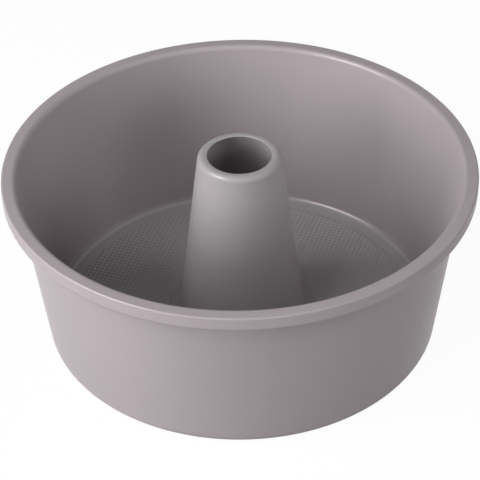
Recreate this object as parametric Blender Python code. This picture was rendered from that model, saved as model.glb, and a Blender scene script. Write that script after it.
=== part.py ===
# Two-piece tube pan, 260 mm over the rim. A tapered side wall of coated sheet steel
# is rolled over a wire at the top and turned in at the foot to make a ledge. A loose
# insert rests on that ledge: a round base plate with a hollow cone seamed into it.
# Metres, +Z up. The origin is the centre of the ring that the pan stands on.
from math import acos, atan2, ceil, cos, pi, radians, sin, tan

import bmesh
import bpy
from mathutils import Matrix, Vector

# Side wall
WALL_HEIGHT = 0.1033          # table to the top of the rim
WALL_TOP_RADIUS = 0.1216      # outer face, just under the rolled rim
WALL_FOOT_RADIUS = 0.1106     # outer face, run straight down to the table
WALL_SHEET = 0.0008
FOOT_BEND = 0.0056            # outside of the bend between wall and ledge
LEDGE_WIDTH = 0.0085          # flat part of the ledge

# Rolled rim and its wire
RIM_BAND = 0.0094             # height of the roll
RIM_STANDOFF = 0.0084         # outer face of the roll, out from the wall under it
RIM_INNER_BEND = 0.0030       # rounding at the mouth of the pan
RIM_OUTER_BEND = 0.0015
RIM_TUCK_BEND = 0.0012        # where the cut edge turns up beside the wall
RIM_TUCK_RISE = 0.0030
WIRE_DIAMETER = 0.0040

# Base plate
PLATE_SHEET = 0.0008
PLATE_EDGE_TURN = radians(34)  # the edge turns up in the bend of the wall
PLATE_EDGE_RUN = 0.0005

# Centre tube
TUBE_HEIGHT = 0.1100          # table to the top of the lip
TUBE_FOOT_RADIUS = 0.0361     # outer face of the cone where it meets the hem
TUBE_TOP_RADIUS = 0.0229      # outer face of the cone, run up to the full height
TUBE_SHEET = 0.0006
TUBE_FOOT_BEND = 0.0012
HEM_WIDTH = 0.0060            # folded collar that lies on the plate
HEM_AIR = 0.0003              # between the two layers of the fold
NECK_BEND = 0.0008            # from the neck in the plate's hole out under the fold
ROLL_WIDTH = 0.0042           # lip rolled out under the plate
ROLL_BEND = 0.0009
LIP_BEND = 0.0034             # outer rounding at the top of the tube
LIP_WIDTH = 0.0052            # from the cone's face in to the hole
LIP_HOLE_BEND = 0.0011
LIP_DROP = 0.0024             # depth of the edge turned down into the hole

# Fits and facets
FIT_GAP = 0.0003              # between pieces that touch
BEND_SAG = 0.00005            # how far a bend's facets cut inside its arc
PAN_FACETS = 60
TUBE_FACETS = 40
WIRE_SIDES = 8

# Heights of the stack, from the table up
FLARE = atan2(WALL_TOP_RADIUS - WALL_FOOT_RADIUS, WALL_HEIGHT - RIM_BAND)
PLATE_UNDER = WALL_SHEET + FIT_GAP
PLATE_TOP = PLATE_UNDER + PLATE_SHEET
HEM_UNDER = PLATE_TOP + FIT_GAP
HEM_TOP = HEM_UNDER + 2 * TUBE_SHEET + HEM_AIR
ROLL_TOP = PLATE_UNDER - FIT_GAP


def wall_face(height):
    """Radius of the wall's outer face at a height."""
    return WALL_FOOT_RADIUS + height * tan(FLARE)


def wall_middle(height):
    """Radius of the middle of the wall's sheet at a height."""
    return wall_face(height) - WALL_SHEET / 2 / cos(FLARE)


def bend_reach(bend, turn):
    """Distance from a corner back to where its bend begins."""
    return bend * tan(turn / 2)


FOOT_TURN = pi / 2 - FLARE
FOOT_BEND_RADIUS = wall_middle(WALL_SHEET / 2) - bend_reach(FOOT_BEND - WALL_SHEET / 2, FOOT_TURN)
RIM_RADIUS = wall_face(WALL_HEIGHT - RIM_BAND) + RIM_STANDOFF
RIM_LOWER_BEND = WIRE_DIAMETER / 2 + FIT_GAP + WALL_SHEET
PLATE_HOLE_RADIUS = TUBE_FOOT_RADIUS + FIT_GAP


def square_to(direction):
    """The direction a quarter turn to the left."""
    return Vector((-direction.y, direction.x))


def bent_strip(corners, sheet):
    """Closed section of a sheet that runs through corners (radius, height, bend)."""
    points = [Vector(corner[:2]) for corner in corners]
    left, right = [], []

    def add(point, side):
        left.append(point + side * sheet / 2)
        right.append(point - side * sheet / 2)

    add(points[0], square_to((points[1] - points[0]).normalized()))
    for before, here, after, corner in zip(points, points[1:], points[2:], corners[1:]):
        bend = corner[2]
        ahead = (here - before).normalized()
        turn = ahead.angle_signed(after - here) * -1
        side = square_to(ahead)
        start = here - ahead * bend_reach(bend, abs(turn))
        centre = start + side * (bend if turn > 0 else -bend)
        steps = max(2, ceil(abs(turn) / (2 * acos(1 - BEND_SAG / bend))))
        for step in range(steps + 1):
            spin = Matrix.Rotation(turn * step / steps, 2)
            add(centre + spin @ (start - centre), spin @ side)
    add(points[-1], square_to((points[-1] - points[-2]).normalized()))
    return left + right[::-1]


def round_bar(radius, height, diameter, sides):
    """Section of a round bar bent into a ring."""
    angles = [2 * pi * (side + 0.5) / sides for side in range(sides)]
    return [Vector((radius + diameter / 2 * cos(a), height + diameter / 2 * sin(a))) for a in angles]


def coating(name, colour, roughness, metallic):
    """A plain finish for one piece."""
    material = bpy.data.materials.new(name)
    material.use_nodes = True
    shader = material.node_tree.nodes["Principled BSDF"]
    shader.inputs["Base Color"].default_value = (*colour, 1.0)
    shader.inputs["Roughness"].default_value = roughness
    shader.inputs["Metallic"].default_value = metallic
    return material


def turned(name, section, facets, material):
    """Turn a closed section round the pan's axis and smooth it."""
    shape = bmesh.new()
    verts = [shape.verts.new((point.x, 0.0, point.y)) for point in section]
    edges = [shape.edges.new((a, b)) for a, b in zip(verts, verts[1:] + verts[:1])]
    bmesh.ops.spin(
        shape, geom=verts + edges, cent=(0, 0, 0), axis=(0, 0, 1),
        angle=2 * pi, steps=facets, use_merge=True)
    bmesh.ops.recalc_face_normals(shape, faces=shape.faces)
    mesh = bpy.data.meshes.new(name)
    shape.to_mesh(mesh)
    shape.free()
    mesh.shade_smooth()
    mesh.set_sharp_from_angle(angle=radians(40))
    mesh.materials.append(material)
    piece = bpy.data.objects.new(name, mesh)
    bpy.context.collection.objects.link(piece)
    return piece


def side_wall():
    """One strip: ledge, wall, over the mouth, round the wire, and up beside the wall."""
    half = WALL_SHEET / 2
    roll_under = WALL_HEIGHT - RIM_BAND
    tuck_end = roll_under + RIM_TUCK_RISE

    def tuck(height):
        return wall_face(height) + (FIT_GAP + half) / cos(FLARE)

    section = bent_strip([
        (FOOT_BEND_RADIUS - LEDGE_WIDTH, half, 0),
        (wall_middle(half), half, FOOT_BEND - half),
        (wall_middle(WALL_HEIGHT - half), WALL_HEIGHT - half, RIM_INNER_BEND - half),
        (RIM_RADIUS - half, WALL_HEIGHT - half, RIM_OUTER_BEND - half),
        (RIM_RADIUS - half, roll_under + half, RIM_LOWER_BEND - half),
        (tuck(roll_under + half), roll_under + half, RIM_TUCK_BEND - half),
        (tuck(tuck_end), tuck_end, 0),
    ], WALL_SHEET)
    return turned("side_wall", section, PAN_FACETS, coating("wall_coating", (0.28, 0.25, 0.255), 0.42, 0.0))


def rim_wire():
    """The steel ring that the rim is rolled over, seated in the lower outer bend."""
    section = round_bar(
        RIM_RADIUS - RIM_LOWER_BEND, WALL_HEIGHT - RIM_BAND + RIM_LOWER_BEND,
        WIRE_DIAMETER, WIRE_SIDES)
    return turned("rim_wire", section, PAN_FACETS, coating("bright_wire", (0.55, 0.55, 0.56), 0.35, 1.0))


def base_plate():
    """Flat disc with a hole for the tube and an edge turned up in the wall's bend."""
    middle = PLATE_UNDER + PLATE_SHEET / 2
    bend = FOOT_BEND - middle
    corner = FOOT_BEND_RADIUS + bend_reach(bend, PLATE_EDGE_TURN)
    run = bend_reach(bend, PLATE_EDGE_TURN) + PLATE_EDGE_RUN
    section = bent_strip([
        (PLATE_HOLE_RADIUS, middle, 0),
        (corner, middle, bend),
        (corner + run * cos(PLATE_EDGE_TURN), middle + run * sin(PLATE_EDGE_TURN), 0),
    ], PLATE_SHEET)
    return turned("base_plate", section, PAN_FACETS, coating("plate_coating", (0.24, 0.22, 0.225), 0.45, 0.0))


def centre_tube():
    """One strip: lip under the plate, neck, folded collar, cone and rolled-in mouth."""
    half = TUBE_SHEET / 2
    neck = TUBE_FOOT_RADIUS - half
    fold = (TUBE_SHEET + HEM_AIR) / 2
    hem_edge = TUBE_FOOT_RADIUS + HEM_WIDTH - half
    lower = HEM_UNDER + half
    upper = HEM_TOP - half
    top = TUBE_HEIGHT - half
    hole = TUBE_TOP_RADIUS - LIP_WIDTH + half
    section = bent_strip([
        (TUBE_FOOT_RADIUS + ROLL_WIDTH, ROLL_TOP - half, 0),
        (neck, ROLL_TOP - half, ROLL_BEND - half),
        (neck, lower, NECK_BEND - half),
        (hem_edge, lower, fold),
        (hem_edge, upper, fold),
        (neck, upper, TUBE_FOOT_BEND - half),
        (TUBE_TOP_RADIUS - half, top, LIP_BEND - half),
        (hole, top, LIP_HOLE_BEND - half),
        (hole, TUBE_HEIGHT - LIP_DROP, 0),
    ], TUBE_SHEET)
    return turned("centre_tube", section, TUBE_FACETS, coating("tube_coating", (0.28, 0.25, 0.255), 0.40, 0.0))


def build():
    for leftover in list(bpy.data.objects):
        bpy.data.objects.remove(leftover, do_unlink=True)
    side_wall()
    rim_wire()
    # The plate and the tube lift out of the ring together, straight up its axis.
    insert = bpy.data.objects.new("tube_insert", None)
    insert.location = (0, 0, PLATE_UNDER)
    bpy.context.collection.objects.link(insert)
    bpy.context.view_layer.update()
    for piece in (base_plate(), centre_tube()):
        piece.parent = insert
        piece.matrix_parent_inverse = insert.matrix_world.inverted()


build()
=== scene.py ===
from math import acos, atan2, ceil, cos, pi, radians, sin, tan

import bmesh
import bpy
from mathutils import Matrix, Quaternion, Vector


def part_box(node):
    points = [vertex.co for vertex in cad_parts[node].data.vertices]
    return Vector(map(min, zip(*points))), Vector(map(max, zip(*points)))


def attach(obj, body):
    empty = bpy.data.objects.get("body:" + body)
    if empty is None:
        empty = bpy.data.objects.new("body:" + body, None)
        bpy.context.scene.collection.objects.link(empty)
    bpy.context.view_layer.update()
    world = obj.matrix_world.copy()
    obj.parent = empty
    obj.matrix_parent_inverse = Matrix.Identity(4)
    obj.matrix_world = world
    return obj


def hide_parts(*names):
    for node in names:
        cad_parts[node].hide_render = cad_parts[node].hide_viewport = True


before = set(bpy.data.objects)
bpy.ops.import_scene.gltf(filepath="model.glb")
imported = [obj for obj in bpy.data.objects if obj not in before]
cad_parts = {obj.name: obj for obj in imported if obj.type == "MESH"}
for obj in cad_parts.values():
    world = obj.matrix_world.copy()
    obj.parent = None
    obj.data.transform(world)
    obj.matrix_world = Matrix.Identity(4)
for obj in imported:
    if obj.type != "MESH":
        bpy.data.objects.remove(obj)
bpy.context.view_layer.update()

# Side wall
# The ring of the pan: one piece of thin steel sheet, formed to a slightly flared wall, turned in at
# the foot as a ledge and rolled outwards over a wire at the mouth. It is sprayed inside and out
# with a satin release coat in a warm mauve grey, baked on after forming.
wall_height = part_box("side_wall")[1].z
rim_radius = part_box("side_wall")[1].x
wall_top_radius = 0.1216
wall_foot_radius = 0.1106
wall_sheet = 0.0008
foot_bend = 0.0056
ledge_width = 0.0085
rim_band = 0.0094
rim_inner_bend = 0.0030
rim_outer_bend = 0.0009        # tighter than in the CAD, so that little light runs along it
rim_tuck_bend = 0.0012
rim_tuck_rise = 0.0030
wire_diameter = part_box("rim_wire")[1].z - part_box("rim_wire")[0].z
seat_gap = 0.0003

flare = atan2(wall_top_radius - wall_foot_radius, wall_height - rim_band)
roll_under = wall_height - rim_band
roll_bend = wire_diameter / 2 + seat_gap + wall_sheet


def wall_face(height):
    """Radius of the wall's outer face at a height."""
    return wall_foot_radius + height * tan(flare)


def wall_middle(height):
    """Radius of the middle of the wall's sheet at a height."""
    return wall_face(height) - wall_sheet / 2 / cos(flare)


def bend_reach(bend, turn):
    """Distance from a corner back to where its bend begins."""
    return bend * tan(turn / 2)


def quarter_left(direction):
    """The direction a quarter turn to the left."""
    return Vector((-direction.y, direction.x))


def bent_line(corners, inset, lead, sag=0.000006, fewest_steps=4, same_point=0.000001):
    """Points along the middle of a bent sheet through corners (radius, height, bend), each with the
    direction square to the sheet there. A flat stretch has a point a short lead from each end, which
    keeps its shading flat."""
    points = [Vector(corner[:2]) for corner in corners]
    line = []

    def add(point, side):
        if not line or (point - line[-1][0]).length > same_point:
            line.append((point, side))

    free = points[0] + (points[1] - points[0]).normalized() * inset
    for before, here, after, corner in zip(points, points[1:], points[2:], corners[1:]):
        bend = corner[2]
        ahead = (here - before).normalized()
        turn = -ahead.angle_signed(after - here)
        side = quarter_left(ahead)
        start = here - ahead * bend_reach(bend, abs(turn))
        leaving = (after - here).normalized()
        end = here + leaving * bend_reach(bend, abs(turn))
        if (start - free).length > 3 * lead:
            add(free + ahead * lead, side)
            add(start - ahead * lead, side)
        centre = start + side * (bend if turn > 0 else -bend)
        steps = max(fewest_steps, ceil(abs(turn) / (2 * acos(1 - sag / bend))))
        for step in range(steps + 1):
            spin = Matrix.Rotation(turn * step / steps, 2)
            add(centre + spin @ (start - centre), spin @ side)
        free = end
    ahead = (points[-1] - points[-2]).normalized()
    if (points[-1] - free).length > inset + 2 * lead:
        add(free + ahead * lead, quarter_left(ahead))
    return line


def cut_edge(tip, beside, sheet, edge_steps=6):
    """Half a circle round the cut edge of a sheet that ends at tip and comes from beside."""
    outward = (Vector(tip[:2]) - Vector(beside[:2])).normalized()
    centre = Vector(tip[:2]) - outward * sheet / 2
    turns = [pi * step / edge_steps for step in range(edge_steps + 1)]
    return [centre + (quarter_left(outward) * cos(a) + outward * sin(a)) * sheet / 2 for a in turns]


def sheet_outline(corners, sheet, lead=0.0004):
    """Closed outline of a bent sheet, its cut edges rounded."""
    line = bent_line(corners, sheet / 2, lead)
    left = [point + side * sheet / 2 for point, side in line]
    right = [point - side * sheet / 2 for point, side in reversed(line)]
    first_edge = cut_edge(corners[0], corners[1], sheet)
    last_edge = cut_edge(corners[-1], corners[-2], sheet)
    return first_edge + left + last_edge + right


def finish_mesh(name, shape, material):
    """Turn a finished bmesh into a smooth-shaded piece."""
    bmesh.ops.recalc_face_normals(shape, faces=shape.faces)
    mesh = bpy.data.meshes.new(name)
    shape.to_mesh(mesh)
    shape.free()
    mesh.shade_smooth()
    mesh.materials.append(material)
    piece = bpy.data.objects.new(name, mesh)
    bpy.context.scene.collection.objects.link(piece)
    return piece


def turn(shape, points, facets, closed):
    """Turn a line of (radius, height) points round the pan's axis."""
    angles = [2 * pi * facet / facets for facet in range(facets)]
    rings = [[shape.verts.new((x * cos(a), x * sin(a), z)) for x, z in points] for a in angles]
    for ring, after in zip(rings, rings[1:] + rings[:1]):
        for step in range(len(points) if closed else len(points) - 1):
            ahead = (step + 1) % len(points)
            shape.faces.new((ring[step], after[step], after[ahead], ring[ahead]))


def turned_sheet(name, outline, facets, material):
    """A piece whose closed outline is the same all round."""
    shape = bmesh.new()
    turn(shape, outline, facets, closed=True)
    return finish_mesh(name, shape, material)


coat_mirror_level = 0.02
coat_metallic = 0.045
noise_range = (0.3, 0.7)       # nearly all of a noise lies between these
cloud_scale = 14
cloud_change = 0.02            # the cloud makes the colour this much darker and lighter
fleck_scale = 2600
fleck_range = (0.62, 0.78)     # only the peaks of the noise show as fleck
fleck_gain = 1.25
fleck_share = 0.3
dullness_scale = 160
dullness_change = 0.015
peel_scale = 900
peel_strength = 0.08
peel_height = 0.00002


def release_coat(name, colour, roughness):
    """Baked release coat: fine mica fleck, a faint cloud in the spray, and orange peel."""
    material = bpy.data.materials.new(name)
    material.use_nodes = True
    nodes, links = material.node_tree.nodes, material.node_tree.links
    shader = nodes["Principled BSDF"]
    shader.inputs["Specular IOR Level"].default_value = coat_mirror_level
    shader.inputs["Metallic"].default_value = coat_metallic
    place = nodes.new("ShaderNodeTexCoord").outputs["Object"]

    def noise(scale, detail):
        texture = nodes.new("ShaderNodeTexNoise")
        texture.inputs["Scale"].default_value = scale
        texture.inputs["Detail"].default_value = detail
        links.new(place, texture.inputs["Vector"])
        return texture.outputs["Fac"]

    def spread(value, reach, low, high):
        change = nodes.new("ShaderNodeMapRange")
        for socket, number in zip(("From Min", "From Max", "To Min", "To Max"), (*reach, low, high)):
            change.inputs[socket].default_value = number
        links.new(value, change.inputs["Value"])
        return change.outputs["Result"]

    def blend(share, first, second):
        mix = nodes.new("ShaderNodeMix")
        mix.data_type = "RGBA"
        for socket_name, source in (("Factor", share), ("A", first), ("B", second)):
            socket = mix.inputs[socket_name]
            if isinstance(source, tuple):
                socket.default_value = (*source, 1.0)
            else:
                links.new(source, socket)
        return mix.outputs["Result"]

    darker = tuple(part * (1 - cloud_change) for part in colour)
    lighter = tuple(part * (1 + cloud_change) for part in colour)
    fleck = tuple(part * fleck_gain for part in colour)
    cloud = blend(spread(noise(cloud_scale, detail=2), noise_range, 0.0, 1.0), darker, lighter)
    flecks = spread(noise(fleck_scale, detail=1), fleck_range, 0.0, fleck_share)
    links.new(blend(flecks, cloud, fleck), shader.inputs["Base Color"])
    dullness = noise(dullness_scale, detail=3)
    smoothest, dullest = roughness - dullness_change, roughness + dullness_change
    links.new(spread(dullness, noise_range, smoothest, dullest), shader.inputs["Roughness"])
    bump = nodes.new("ShaderNodeBump")
    bump.inputs["Strength"].default_value = peel_strength
    bump.inputs["Distance"].default_value = peel_height
    links.new(noise(peel_scale, detail=2), bump.inputs["Height"])
    links.new(bump.outputs["Normal"], shader.inputs["Normal"])
    return material


foot_turn = pi / 2 - flare
foot_bend_radius = wall_middle(wall_sheet / 2) - bend_reach(foot_bend - wall_sheet / 2, foot_turn)
coat_colour = (0.358, 0.318, 0.330)
coat_roughness = 0.295
wall_half = wall_sheet / 2
wall_facets = 240
tuck_end = roll_under + rim_tuck_rise


def tuck_radius(height):
    """Radius of the middle of the sheet where its cut edge is tucked up beside the wall."""
    return wall_face(height) + (seat_gap + wall_half) / cos(flare)


side_wall = turned_sheet("pressed_side_wall", sheet_outline([
    (foot_bend_radius - ledge_width, wall_half, 0),
    (wall_middle(wall_half), wall_half, foot_bend - wall_half),
    (wall_middle(wall_height - wall_half), wall_height - wall_half, rim_inner_bend - wall_half),
    (rim_radius - wall_half, wall_height - wall_half, rim_outer_bend - wall_half),
    (rim_radius - wall_half, roll_under + wall_half, roll_bend - wall_half),
    (tuck_radius(roll_under + wall_half), roll_under + wall_half, rim_tuck_bend - wall_half),
    (tuck_radius(tuck_end), tuck_end, 0),
], wall_sheet), wall_facets, release_coat("wall_release_coat", coat_colour, coat_roughness))
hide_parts("side_wall")
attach(side_wall, "pan_ring")

# Rim wire
# A hoop of drawn steel wire, butt welded, that stiffens the mouth. The rim is rolled tightly
# over it, so only the roll's size tells of it.
wire_sides = 20
wire_facets = 180
wire_colour = (0.55, 0.55, 0.56)
wire_grain_scale = 1800
wire_brightest = 0.22
wire_dullest = 0.45
wire_seat = Vector((rim_radius - roll_bend, roll_under + roll_bend))


def drawn_steel(name):
    """Bright drawn wire with a fine, uneven dullness."""
    material = bpy.data.materials.new(name)
    material.use_nodes = True
    nodes, links = material.node_tree.nodes, material.node_tree.links
    shader = nodes["Principled BSDF"]
    shader.inputs["Metallic"].default_value = 1.0
    shader.inputs["Base Color"].default_value = (*wire_colour, 1.0)
    texture = nodes.new("ShaderNodeTexNoise")
    texture.inputs["Scale"].default_value = wire_grain_scale
    texture.inputs["Detail"].default_value = 2
    links.new(nodes.new("ShaderNodeTexCoord").outputs["Object"], texture.inputs["Vector"])
    dullness = nodes.new("ShaderNodeMapRange")
    dullness.inputs["To Min"].default_value = wire_brightest
    dullness.inputs["To Max"].default_value = wire_dullest
    links.new(texture.outputs["Fac"], dullness.inputs["Value"])
    links.new(dullness.outputs["Result"], shader.inputs["Roughness"])
    return material


wire_angles = [2 * pi * side / wire_sides for side in range(wire_sides)]
rim_wire = turned_sheet("rolled_in_wire", [
    wire_seat + Vector((cos(a), sin(a))) * wire_diameter / 2 for a in wire_angles
], wire_facets, drawn_steel("drawn_wire_steel"))
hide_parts("rim_wire")
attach(rim_wire, "pan_ring")

# Base plate
# A loose steel disc that rests on the wall's ledge. A fine square grid is pressed into it between
# two plain rings, so that a cake lifts off easily, and its edge turns up into the wall's bend.
plate_sheet = 0.0008
plate_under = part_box("base_plate")[0].z
plate_middle = plate_under + plate_sheet / 2
plate_top = plate_under + plate_sheet
edge_turn = radians(34)        # the edge turns up along the wall's bend
edge_run = 0.0005
edge_lead = 0.0003
tube_foot_radius = 0.0361
plate_hole_radius = tube_foot_radius + seat_gap
# painted light and shade: the wall's coat, painted lighter in place of light the lamps don't bring down
# to the plate, and greyer, the tone of the shade at the bottom of the pan
plate_colour_with_painted_light_and_shade = (0.388, 0.375, 0.379)
grid_pitch = 0.00269
grid_turn = radians(-18.8)
grid_groove = 0.25             # half the groove, as a share of the pitch
pad_rise = 0.00045             # how far the little squares stand above the deep grooves
row_rise = 0.00019             # the grooves that run from left to right are shallower
grid_inner_radius = 0.0435
grid_outer_radius = 0.0995
plain_step = 0.0008            # from the grid's edge to the first plain ring
plate_facets = 360
on_circle = 0.0000001          # a cut this near to a corner counts as at the corner
snap_reach = 0.0001            # a corner this near to a circle is moved on to it
round_off = 0.000001           # corners on a circle are this near to it
edge_rounding = 0.0002         # for the cut edges
rounded_from = radians(75)     # the grid's grooves turn less than this and stay crisp


def pressed_grid():
    """The grid's squares and grooves as one open sheet, wider than the field that is kept."""
    sheet = bmesh.new()
    reach = grid_outer_radius + grid_pitch
    cells = ceil(reach / grid_pitch)
    lines = [(cell + share) * grid_pitch for cell in range(-cells, cells) for share in
             (0, grid_groove, 1 - grid_groove)]
    spin = Matrix.Rotation(grid_turn, 2)
    verts = {}

    def vert(i, j):
        if (i, j) not in verts:
            flat = spin @ Vector((lines[i], lines[j]))
            rise = 0 if i % 3 == 0 else row_rise if j % 3 == 0 else pad_rise
            verts[i, j] = sheet.verts.new((flat.x, flat.y, plate_middle + rise))
        return verts[i, j]

    for i in range(len(lines) - 1):
        for j in range(len(lines) - 1):
            radius = Vector((lines[i], lines[j])).length
            if grid_inner_radius - grid_pitch < radius < reach:
                sheet.faces.new((vert(i, j), vert(i + 1, j), vert(i + 1, j + 1), vert(i, j + 1)))
    return sheet


def cut_on_circle(sheet, radius):
    """Cut the sheet along a circle about the axis, where it sinks back to the plain plate."""

    def off_circle(vert):
        return vert.co.xy.length - radius

    def settle(vert):
        flat = vert.co.xy * (radius / vert.co.xy.length)
        vert.co = (flat.x, flat.y, plate_middle)
        return vert

    on = [settle(vert) for vert in sheet.verts if abs(off_circle(vert)) < snap_reach]
    for edge in list(sheet.edges):
        first, second = edge.verts
        a, b = off_circle(first), off_circle(second)
        if a * b < 0 and min(abs(a), abs(b)) > on_circle:
            on.append(settle(bmesh.utils.edge_split(edge, first, a / (a - b))[1]))
    bmesh.ops.connect_verts(sheet, verts=on)


def bearing(vert):
    """Angle of a corner round the pan's axis."""
    return atan2(vert.co.y, vert.co.x)


def fill_between(sheet, *radii):
    """Join the open edges on two circles with triangles, going round both in step."""
    loops = []
    for radius in radii:
        verts = {vert for edge in sheet.edges if edge.is_boundary for vert in edge.verts
                 if abs(vert.co.xy.length - radius) < round_off}
        around = [(bearing(vert), vert) for vert in sorted(verts, key=bearing)]
        start_bearing, start = around[0]
        loops.append([*around, (start_bearing + 2 * pi, start)])
    one, other = loops
    i = j = 0
    while i < len(one) - 1 or j < len(other) - 1:
        if j == len(other) - 1 or (i < len(one) - 1 and one[i + 1][0] < other[j + 1][0]):
            sheet.faces.new((one[i][1], other[j][1], one[i + 1][1]))
            i += 1
        else:
            sheet.faces.new((one[i][1], other[j][1], other[j + 1][1]))
            j += 1


plate = pressed_grid()
for circle in (grid_inner_radius, grid_outer_radius):
    cut_on_circle(plate, circle)
bmesh.ops.delete(plate, context="FACES", geom=[
    face for face in plate.faces
    if not grid_inner_radius < face.calc_center_median().xy.length < grid_outer_radius])
edge_bend = foot_bend - plate_middle
edge_corner = foot_bend_radius + bend_reach(edge_bend, edge_turn)
edge_reach = bend_reach(edge_bend, edge_turn) + edge_run
edge_corners = [
    (grid_outer_radius + plain_step, plate_middle, 0),
    (edge_corner, plate_middle, edge_bend),
    (edge_corner + edge_reach * cos(edge_turn), plate_middle + edge_reach * sin(edge_turn), 0)]
edge_line = [point for point, side in bent_line(edge_corners, 0, edge_lead)]
turn(plate, [(plate_hole_radius, plate_middle), (grid_inner_radius - plain_step, plate_middle)],
     plate_facets, closed=False)
turn(plate, [edge_corners[0][:2], *edge_line, edge_corners[-1][:2]], plate_facets, closed=False)
fill_between(plate, grid_inner_radius, grid_inner_radius - plain_step)
fill_between(plate, grid_outer_radius, grid_outer_radius + plain_step)
plate_coat = release_coat("plate_release_coat", plate_colour_with_painted_light_and_shade, coat_roughness)
base_plate = finish_mesh("gridded_base_plate", plate, plate_coat)
thickness = base_plate.modifiers.new("sheet", "SOLIDIFY")
thickness.thickness = plate_sheet
thickness.offset = 0
thickness.use_even_offset = True
soft_edge = base_plate.modifiers.new("coated edge", "BEVEL")
soft_edge.width = edge_rounding
soft_edge.segments = 3
soft_edge.limit_method = "ANGLE"
soft_edge.angle_limit = rounded_from
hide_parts("base_plate")
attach(base_plate, "tube_insert")

# Centre tube
# A hollow cone spun from thin steel sheet. Its mouth is turned in to a flat lip that ends in a thin
# edge. At the foot it is folded to a flat collar above the plate and rolled out under it, which
# clamps the two.
tube_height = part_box("centre_tube")[1].z
tube_top_radius = 0.0229
tube_sheet = 0.0006
tube_foot_bend = 0.0012
neck_bend = 0.0008
collar_width = 0.0060
collar_air = 0.0003
under_roll_width = 0.0042
under_roll_bend = 0.0009
lip_bend = 0.0034
lip_width = 0.0052
# painted shade: the wall's coat painted greyer, the tone of the shade on the tube
tube_colour_with_painted_shade = (0.350, 0.327, 0.334)
tube_facets = 180

tube_half = tube_sheet / 2
neck = tube_foot_radius - tube_half
collar_fold = (tube_sheet + collar_air) / 2
collar_edge = tube_foot_radius + collar_width - tube_half
collar_lower = plate_top + seat_gap + tube_half
collar_upper = collar_lower + tube_sheet + collar_air
under_roll = plate_under - seat_gap - tube_half
lip_top = tube_height - tube_half
hole_radius = tube_top_radius - lip_width

centre_tube = turned_sheet("spun_centre_tube", sheet_outline([
    (tube_foot_radius + under_roll_width, under_roll, 0),
    (neck, under_roll, under_roll_bend - tube_half),
    (neck, collar_lower, neck_bend - tube_half),
    (collar_edge, collar_lower, collar_fold),
    (collar_edge, collar_upper, collar_fold),
    (neck, collar_upper, tube_foot_bend - tube_half),
    (tube_top_radius - tube_half, lip_top, lip_bend - tube_half),
    (hole_radius, lip_top, 0),
], tube_sheet, lead=0.0002), tube_facets, release_coat("tube_release_coat", tube_colour_with_painted_shade, coat_roughness))
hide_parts("centre_tube")
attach(centre_tube, "tube_insert")

# Floor
# A pale floor that the pan stands on. The camera sees it as white, with the pan's soft shadow.
# Reflections see it as white too, but for the part right below the tube, so that no glow comes up
# through the bore.
floor_reach = 6.0
covered_radius = 0.037
floor_shade_in_light = 0.30
floor_shade_seen = 0.95
floor_glow_share = 0.95        # the rest is paint, which keeps the shadow


def shows_white(nodes, links):
    """One for the rays that show the background: from the camera, reflected or passed through."""
    rays = nodes.new("ShaderNodeLightPath")
    either = nodes.new("ShaderNodeMath")
    either.operation = "MAXIMUM"
    links.new(rays.outputs["Is Camera Ray"], either.inputs[0])
    links.new(rays.outputs["Is Glossy Ray"], either.inputs[1])
    any_of_them = nodes.new("ShaderNodeMath")
    any_of_them.operation = "MAXIMUM"
    links.new(either.outputs[0], any_of_them.inputs[0])
    links.new(rays.outputs["Is Transmission Ray"], any_of_them.inputs[1])
    return any_of_them.outputs[0]


floor_mesh = bpy.data.meshes.new("floor")
floor_corners = [(x * floor_reach, y * floor_reach, 0.0) for x, y in ((-1, -1), (1, -1), (1, 1), (-1, 1))]
floor_mesh.from_pydata(floor_corners, [], [(0, 1, 2, 3)])
floor = bpy.data.objects.new("floor", floor_mesh)
bpy.context.scene.collection.objects.link(floor)
floor_paint = bpy.data.materials.new("floor_white")
floor_paint.use_nodes = True
floor_nodes, floor_links = floor_paint.node_tree.nodes, floor_paint.node_tree.links
floor_nodes.clear()
seen = shows_white(floor_nodes, floor_links)
painted = floor_nodes.new("ShaderNodeBsdfDiffuse")
paint_shade = floor_nodes.new("ShaderNodeMapRange")
paint_shade.inputs["To Min"].default_value = floor_shade_in_light
paint_shade.inputs["To Max"].default_value = floor_shade_seen
floor_links.new(seen, paint_shade.inputs["Value"])
floor_links.new(paint_shade.outputs["Result"], painted.inputs["Color"])
white = floor_nodes.new("ShaderNodeEmission")
white.inputs["Strength"].default_value = 1.0
from_middle = floor_nodes.new("ShaderNodeVectorMath")
from_middle.operation = "LENGTH"
floor_links.new(floor_nodes.new("ShaderNodeTexCoord").outputs["Object"], from_middle.inputs[0])
outside = floor_nodes.new("ShaderNodeMath")
outside.operation = "GREATER_THAN"
outside.inputs[1].default_value = covered_radius
floor_links.new(from_middle.outputs["Value"], outside.inputs[0])
reflected = floor_nodes.new("ShaderNodeMath")
reflected.operation = "MULTIPLY"
floor_links.new(seen, reflected.inputs[0])
floor_links.new(outside.outputs[0], reflected.inputs[1])
lit = floor_nodes.new("ShaderNodeMath")
lit.operation = "MAXIMUM"
floor_links.new(reflected.outputs[0], lit.inputs[0])
floor_links.new(floor_nodes.new("ShaderNodeLightPath").outputs["Is Camera Ray"], lit.inputs[1])
share = floor_nodes.new("ShaderNodeMath")
share.operation = "MULTIPLY"
share.inputs[1].default_value = floor_glow_share
floor_links.new(lit.outputs[0], share.inputs[0])
floor_mix = floor_nodes.new("ShaderNodeMixShader")
floor_links.new(share.outputs[0], floor_mix.inputs["Fac"])
floor_links.new(painted.outputs[0], floor_mix.inputs[1])
floor_links.new(white.outputs[0], floor_mix.inputs[2])
floor_links.new(floor_mix.outputs[0], floor_nodes.new("ShaderNodeOutputMaterial").inputs["Surface"])
floor_mesh.materials.append(floor_paint)

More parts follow.
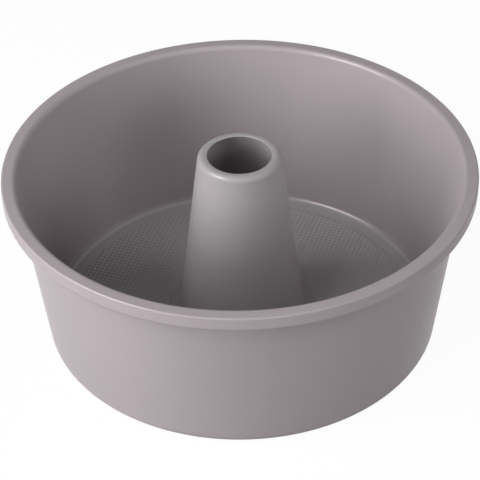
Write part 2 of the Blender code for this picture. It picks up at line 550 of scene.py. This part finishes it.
# Light
# Large soft boxes round the left, the front and the right of the pan, two small glints for the
# highlights, and a white room that is seen and reflected but doesn't light the pan.
world = bpy.data.worlds.new("studio")
bpy.context.scene.world = world
world.use_nodes = True
world_nodes, world_links = world.node_tree.nodes, world.node_tree.links
world_nodes["Background"].inputs["Color"].default_value = (1, 1, 1, 1)
world_links.new(shows_white(world_nodes, world_links), world_nodes["Background"].inputs["Strength"])

lamp_distance = 1.5
lamp_aim = Vector((0, 0, 0.05))
soft_box_size = 0.6
glint_size = 0.3


def soft_box(name, azimuth, elevation, power, glint=False):
    """A square lamp that faces the pan. Azimuth turns from +X towards +Y. The large ones light the
    coat without a reflection of their own, and the small glints are seen only as reflections."""
    lamp = bpy.data.lights.new(name, "AREA")
    lamp.size = glint_size if glint else soft_box_size
    lamp.energy = power
    box = bpy.data.objects.new(name, lamp)
    box.visible_glossy = glint
    box.visible_diffuse = not glint
    bpy.context.scene.collection.objects.link(box)
    flat = Vector((cos(radians(azimuth)), sin(radians(azimuth)), 0)) * cos(radians(elevation))
    away = flat + Vector((0, 0, sin(radians(elevation))))
    box.location = lamp_aim + away * lamp_distance
    box.rotation_euler = away.to_track_quat("Z", "Y").to_euler()


soft_box("left", 180, 38, 2.2)
soft_box("key", 197, 38, 7.4)
soft_box("low left", 195, 16, 8.4)
soft_box("front left", 225, 38, 3.9)
soft_box("low front left", 225, 16, 9.9)
soft_box("high front left", 240, 60, 1.2)
soft_box("low front", 290, 16, 4.9)
soft_box("high front right", 300, 60, 1.4)
soft_box("right", 345, 38, 5.2)
soft_box("low right", 0, 16, 2.6)
soft_box("left glint", 190, 42, 16.0, glint=True)
soft_box("key glint", 208, 46, 28.0, glint=True)

# Camera
# It looks down on the pan from the front, a little rolled, with a long lens.
camera_distance = 1.0550
camera_height_angle = radians(40.097)
camera_aim = Vector((-0.00054, 0, 0.05118))
camera_roll = -0.01856
camera_lens = 136.06
lens = bpy.data.cameras.new("camera")
lens.sensor_width = 36
lens.lens = camera_lens
camera = bpy.data.objects.new("camera", lens)
bpy.context.scene.collection.objects.link(camera)
camera_back = camera_distance * cos(camera_height_angle)
camera_up = camera_distance * sin(camera_height_angle)
camera.location = (0, -camera_back, camera_up)
facing = (camera_aim - camera.location).to_track_quat("-Z", "Y")
camera.rotation_euler = (facing @ Quaternion((0, 0, 1), camera_roll)).to_euler()
bpy.context.scene.camera = camera
bpy.context.scene.view_settings.view_transform = "Standard"
